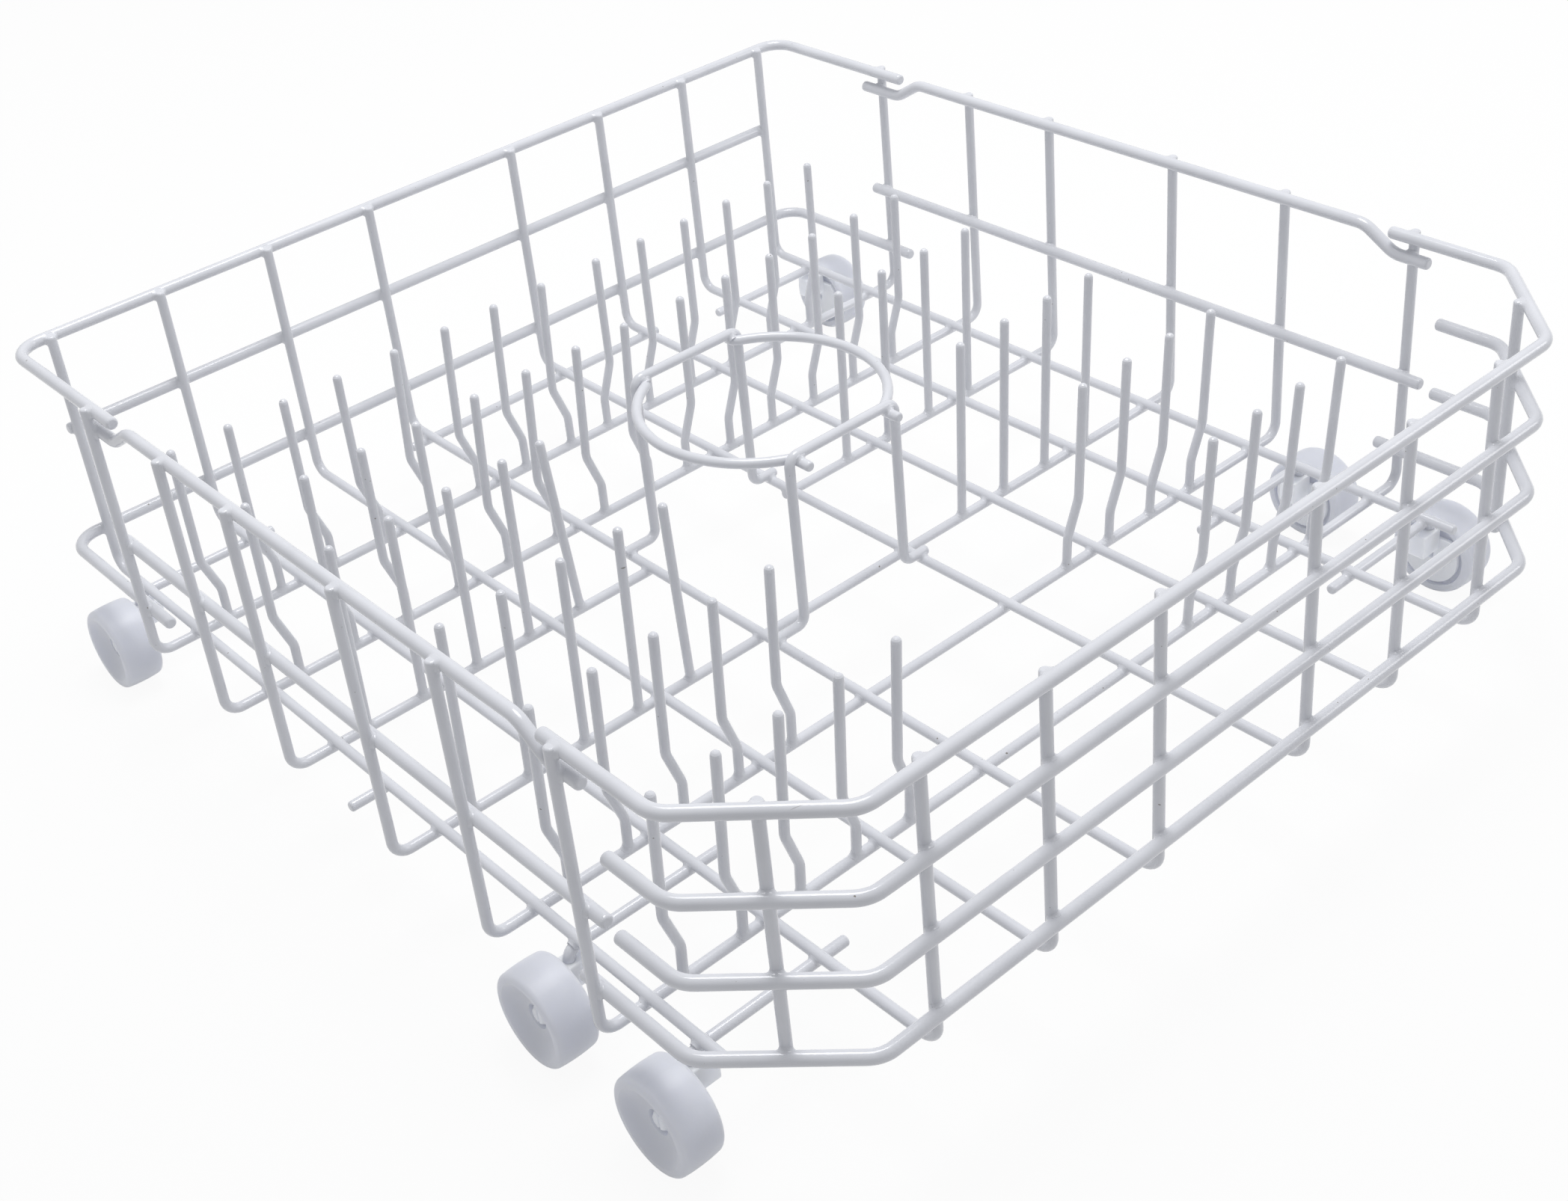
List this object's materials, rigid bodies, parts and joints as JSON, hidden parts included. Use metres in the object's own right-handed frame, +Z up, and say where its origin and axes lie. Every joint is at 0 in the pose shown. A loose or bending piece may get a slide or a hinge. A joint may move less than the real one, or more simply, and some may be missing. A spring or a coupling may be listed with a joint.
{
  "type": "dishwasher basket",
  "caption": "Lower dishwasher basket of white coated wire: an open box with cut front corners, rows of plate tines and a holder ring, rolling on plastic wheels.",
  "frame": {"origin": "middle of the footprint, at the level that the wheels stand on", "axes": "+Z up, +Y from the front with the cut corners to the back, +X to the right seen from the front"},
  "size_m": [0.52, 0.551, 0.1846],
  "materials": {
    "coated_wire": "smooth glossy plastic coating over steel wire",
    "mount_plastic": "milky unfilled plastic, satin",
    "wheel_plastic": "milky unfilled plastic, satin"
  },
  "bodies": {
    "basket": {"rim_front": "coated_wire", "rim_back": "coated_wire", "rim_left": "coated_wire", "rim_right": "coated_wire", "front_rail_upper": "coated_wire", "front_rail_middle": "coated_wire", "front_rail_lower": "coated_wire", "back_rail_upper": "coated_wire", "back_rail_lower": "coated_wire", "side_rail_left": "coated_wire", "side_rail_right": "coated_wire", "cross_wire_1": "coated_wire", "cross_wire_2": "coated_wire", "cross_wire_3_left": "coated_wire", "cross_wire_3_right": "coated_wire", "cross_wire_4": "coated_wire", "cross_wire_5": "coated_wire", "cross_wire_6": "coated_wire", "long_wire_1": "coated_wire", "long_wire_2": "coated_wire", "long_wire_3": "coated_wire", "long_wire_4": "coated_wire", "long_wire_5": "coated_wire", "long_wire_6": "coated_wire", "long_wire_7": "coated_wire", "long_wire_8": "coated_wire", "corner_post_left": "coated_wire", "corner_post_right": "coated_wire", "short_back_wire": "coated_wire", "side_stop_wire": "coated_wire", "tine_row_1": "coated_wire", "tine_row_2": "coated_wire", "tine_row_3": "coated_wire", "tine_row_4": "coated_wire", "tine_row_5": "coated_wire", "tine_row_6": "coated_wire", "ring_bracket_front": "coated_wire", "ring_bracket_back": "coated_wire", "ring_arc_left": "coated_wire", "ring_arc_right": "coated_wire", "axle_wire_left_back": "coated_wire", "axle_wire_left_middle": "coated_wire", "axle_wire_left_front": "coated_wire", "axle_wire_right_back": "coated_wire", "axle_wire_right_middle": "coated_wire", "axle_wire_right_front": "coated_wire", "wheel_mount_left_back": "mount_plastic", "wheel_mount_left_middle": "mount_plastic", "wheel_mount_left_front": "mount_plastic", "wheel_mount_right_back": "mount_plastic", "wheel_mount_right_middle": "mount_plastic", "wheel_mount_right_front": "mount_plastic"},
    "wheel_left_back": {"wheel_left_back": "wheel_plastic"},
    "wheel_left_middle": {"wheel_left_middle": "wheel_plastic"},
    "wheel_left_front": {"wheel_left_front": "wheel_plastic"},
    "wheel_right_back": {"wheel_right_back": "wheel_plastic"},
    "wheel_right_middle": {"wheel_right_middle": "wheel_plastic"},
    "wheel_right_front": {"wheel_right_front": "wheel_plastic"}
  },
  "joints": [
    {"name": "wheel_left_back_spin", "type": "hinge", "parent": "basket", "child": "wheel_left_back", "pos_m": [-0.25, 0.24007, 0.022], "axis": [1, 0, 0], "continuous": true},
    {"name": "wheel_left_middle_spin", "type": "hinge", "parent": "basket", "child": "wheel_left_middle", "pos_m": [-0.25, -0.12753, 0.022], "axis": [1, 0, 0], "continuous": true},
    {"name": "wheel_left_front_spin", "type": "hinge", "parent": "basket", "child": "wheel_left_front", "pos_m": [-0.25, -0.20383, 0.022], "axis": [1, 0, 0], "continuous": true},
    {"name": "wheel_right_back_spin", "type": "hinge", "parent": "basket", "child": "wheel_right_back", "pos_m": [0.25, 0.24007, 0.022], "axis": [1, 0, 0], "continuous": true},
    {"name": "wheel_right_middle_spin", "type": "hinge", "parent": "basket", "child": "wheel_right_middle", "pos_m": [0.25, -0.12753, 0.022], "axis": [1, 0, 0], "continuous": true},
    {"name": "wheel_right_front_spin", "type": "hinge", "parent": "basket", "child": "wheel_right_front", "pos_m": [0.25, -0.20383, 0.022], "axis": [1, 0, 0], "continuous": true}
  ]
}
